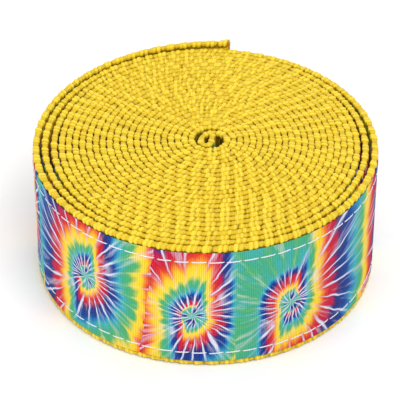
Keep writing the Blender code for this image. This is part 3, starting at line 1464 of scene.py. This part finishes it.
    def material(self) -> bpy.types.Material:
        """The finish as a material.

        Returns:
            The material.
        """
        paint = Paint("tie_dye_ribbon")
        along, height = paint.strap_place()
        sway, lift = (
            paint.noise(paint.place(along, height, layer), self.sway_fineness, 2.0) - 0.5
            for layer in (0.0, 7.0)
        )
        ground = self._ground(paint, along + sway * self.sway, height + lift * self.sway)
        petals, plain = self._petals(ground), self._plain(ground)
        dye = self._dye(ground, petals, plain, sway)
        pale = self._pale(ground, petals, plain, dye)
        colour = paint.mix(paint.scale_of(dye, self.dyes), self.undyed, pale)
        colour, relief, speck = self._cloth_and_rib_shade(paint, along, height, colour)
        varying = {
            "Base Color": colour,
            "Roughness": self.roughness + speck * 0.15,
            "Normal": paint.bump(relief, self.relief_depth, 0.7),
        }
        return paint.surface(varying, {"Specular IOR Level": 0.12})


@dataclass(frozen=True)
class SewingThread:
    """White two-ply thread, with painted shade between its plies."""

    white: tuple[float, ...] = shade(232, 233, 238)
    shadow: tuple[float, ...] = shade(168, 170, 180)
    roughness: float = 0.5
    relief_depth: float = 0.03 * MM

    def material(self) -> bpy.types.Material:
        """The finish as a material.

        Returns:
            The material.
        """
        paint = Paint("sewing_thread")
        along, height = paint.strap_place()
        hollow = paint.read(Fields.CREASE)
        fluff = paint.noise(paint.place(along + height * 1.6, height * 4.0), 6.0, 2.0)
        # Painted shade in the grooves between the plies.
        colour = paint.mix(self.white, self.shadow, hollow.step(-0.02, 0.16) * 0.7)
        colour = colour * (0.88 + fluff * 0.16)
        varying = {
            "Base Color": colour,
            "Roughness": self.roughness + fluff * 0.2,
            "Normal": paint.bump(fluff, self.relief_depth, 0.6),
        }
        return paint.surface(varying, {"Sheen Weight": 0.1, "Specular IOR Level": 0.4})


@dataclass(frozen=True)
class PaleFloor:
    """A matt off-white studio floor."""

    white: tuple[float, ...] = shade(250, 250, 250)
    worn: tuple[float, ...] = shade(246, 246, 245)
    roughness: float = 0.8

    def material(self) -> bpy.types.Material:
        """The finish as a material.

        Returns:
            The material.
        """
        paint = Paint("pale_floor")
        where = paint.node("ShaderNodeTexCoord", {}, {}, "Object")
        cloud = paint.noise(where, 6.0, 3.0)
        colour = paint.mix(self.white, self.worn, cloud)
        varying = {"Base Color": colour, "Roughness": self.roughness + cloud * 0.1}
        return paint.surface(varying, {"Specular IOR Level": 0.2})


# ---- Studio ----


@dataclass(frozen=True)
class SoftLight:
    """A square lamp that faces the roll."""

    name: str
    place: tuple[float, float, float]
    side: float
    power: float

    def build(self, target: Vector) -> bpy.types.Object:
        """The lamp, in its place.

        Args:
            target: the point that it faces.

        Returns:
            The lamp.
        """
        lamp = bpy.data.lights.new(self.name, "AREA")
        lamp.shape, lamp.size, lamp.energy = "SQUARE", self.side, self.power
        made = bpy.data.objects.new(self.name, lamp)
        made.location = self.place
        made.rotation_euler = (target - Vector(self.place)).to_track_quat("-Z", "Y").to_euler()
        bpy.context.scene.collection.objects.link(made)
        return made


@dataclass(frozen=True)
class Studio:
    """The floor, the soft light and the camera."""

    floor_finish: bpy.types.Material
    middle: tuple[float, float, float] = (0.452 * MM, -0.78 * MM, 19.05 * MM)
    floor_side: float = 3.0
    floor_rows: int = 24
    floor_drop: float = 0.2 * MM
    rise_from: float = 0.8
    rise: float = 1.2
    surround: float = 0.72
    distance: float = 0.577
    elevation: float = math.radians(37.41)
    lens: float = 195.66
    aim_left: float = 1.86 * MM
    aim_down: float = 0.27 * MM
    lamps: tuple[SoftLight, ...] = (
        SoftLight("key_light", (0.25, -0.45, 0.85), 0.55, 4.6),
        SoftLight("fill_light", (-0.7, -0.5, 0.35), 0.6, 2.2),
        SoftLight("back_light", (0.2, 0.8, 0.7), 0.7, 2.0),
    )

    def _floor(self) -> bpy.types.Object:
        """The floor, a wide sheet just under the roll that turns up far behind it.

        Returns:
            The floor.
        """
        spots = np.linspace(-0.5, 0.5, self.floor_rows) * self.floor_side
        wide, deep = np.meshgrid(spots, spots, indexing="ij")
        up = np.maximum(0.0, deep - self.rise_from) ** 2 * self.rise - self.floor_drop
        points = np.stack([wide, deep, up], axis=-1).reshape(-1, 3)
        numbers = np.arange(points.shape[0]).reshape(self.floor_rows, self.floor_rows)
        corners = (numbers[:-1, :-1], numbers[1:, :-1], numbers[1:, 1:], numbers[:-1, 1:])
        quads = np.stack(corners, axis=-1).reshape(-1, 4)
        mesh = bpy.data.meshes.new("studio_floor")
        mesh.from_pydata(points.tolist(), [], quads.tolist())
        mesh.shade_smooth()
        mesh.materials.append(self.floor_finish)
        floor = bpy.data.objects.new("studio_floor", mesh)
        bpy.context.scene.collection.objects.link(floor)
        return floor

    def _world(self) -> None:
        """An even, near-white surround."""
        world = bpy.data.worlds.new("soft_surround")
        world.use_nodes = True
        background = world.node_tree.nodes["Background"]
        background.inputs["Color"].default_value = (1.0, 1.0, 1.0, 1.0)
        background.inputs["Strength"].default_value = self.surround
        bpy.context.scene.world = world
        bpy.context.scene.view_settings.view_transform = "Standard"

    def _camera(self) -> bpy.types.Object:
        """The camera, in front of the roll and looking down on it.

        Returns:
            The camera.
        """
        lens = bpy.data.cameras.new("camera")
        lens.lens, lens.sensor_width, lens.clip_start = self.lens, 36.0, 0.05
        made = bpy.data.objects.new("camera", lens)
        forth = Vector((0.0, math.cos(self.elevation), -math.sin(self.elevation)))
        up = Vector((0.0, math.sin(self.elevation), math.cos(self.elevation)))
        target = Vector(self.middle)
        made.location = target - forth * self.distance
        aim = target - Vector((self.aim_left, 0.0, 0.0)) - up * self.aim_down
        made.rotation_euler = (aim - made.location).to_track_quat("-Z", "Y").to_euler()
        bpy.context.scene.collection.objects.link(made)
        bpy.context.scene.camera = made
        return made

    def build(self) -> None:
        """Everything in the studio."""
        self._floor()
        self._world()
        for lamp in self.lamps:
            lamp.build(Vector(self.middle))
        self._camera()


# ---- The roll ----


@dataclass(frozen=True)
class StrapRoll:
    """The whole strap: webbing, ribbon and the four threads that hold them together."""

    plan: StrapPlan
    webbing: Webbing
    ribbon: Ribbon
    threads: tuple[StitchRow, ...]

    def build(self) -> None:
        """Builds every length of every layer and reports each one."""
        shown = [*self.plan.tail(), *self.plan.outer_turn()]
        jobs = [(layer, span) for span in shown for layer in (self.webbing, self.ribbon, *self.threads)]
        jobs += [(self.webbing, span) for span in self.plan.inner_turns()]
        jobs += [(self.ribbon, self.plan.inside())]
        for layer, span in jobs:
            piece = layer.build(span)
            if piece is not None:
                bodies = " and ".join(span.bodies)
                log.info("%s: %d faces on %s", piece.name, len(piece.data.polygons), bodies)


class Rows(float, Enum):
    """The heights of the two stitch rows."""

    LOWER = 4.35 * MM
    UPPER = 33.75 * MM


def main() -> None:
    """Builds the strap and the studio round it."""
    logging.basicConfig(level=logging.INFO, format="%(message)s")
    line = StrapLine()
    sewn = {"line": line, "finish": SewingThread().material()}
    needle = {**sewn, "surface": 0.91 * MM, "side": 1.0, "last_step": 31.0}
    bobbin = {**sewn, "surface": 0.65 * MM, "side": -1.0, "last_step": 24.0, "half_thickness": 0.07 * MM}
    threads = (
        StitchRow(layer="upper_needle_thread", row_height=Rows.UPPER.value, seed=5, **needle),
        StitchRow(layer="lower_needle_thread", row_height=Rows.LOWER.value, seed=6, **needle),
        StitchRow(layer="upper_bobbin_thread", row_height=Rows.UPPER.value, seed=7, **bobbin),
        StitchRow(layer="lower_bobbin_thread", row_height=Rows.LOWER.value, seed=8, **bobbin),
    )
    webbing = Webbing(line=line, finish=WebbingYarn().material())
    ribbon = Ribbon(line=line, finish=TieDyePrint().material(), stitches=threads[0])
    StrapRoll(StrapPlan(line), webbing, ribbon, threads).build()
    Studio(PaleFloor().material()).build()


if __name__ == "__main__":
    main()
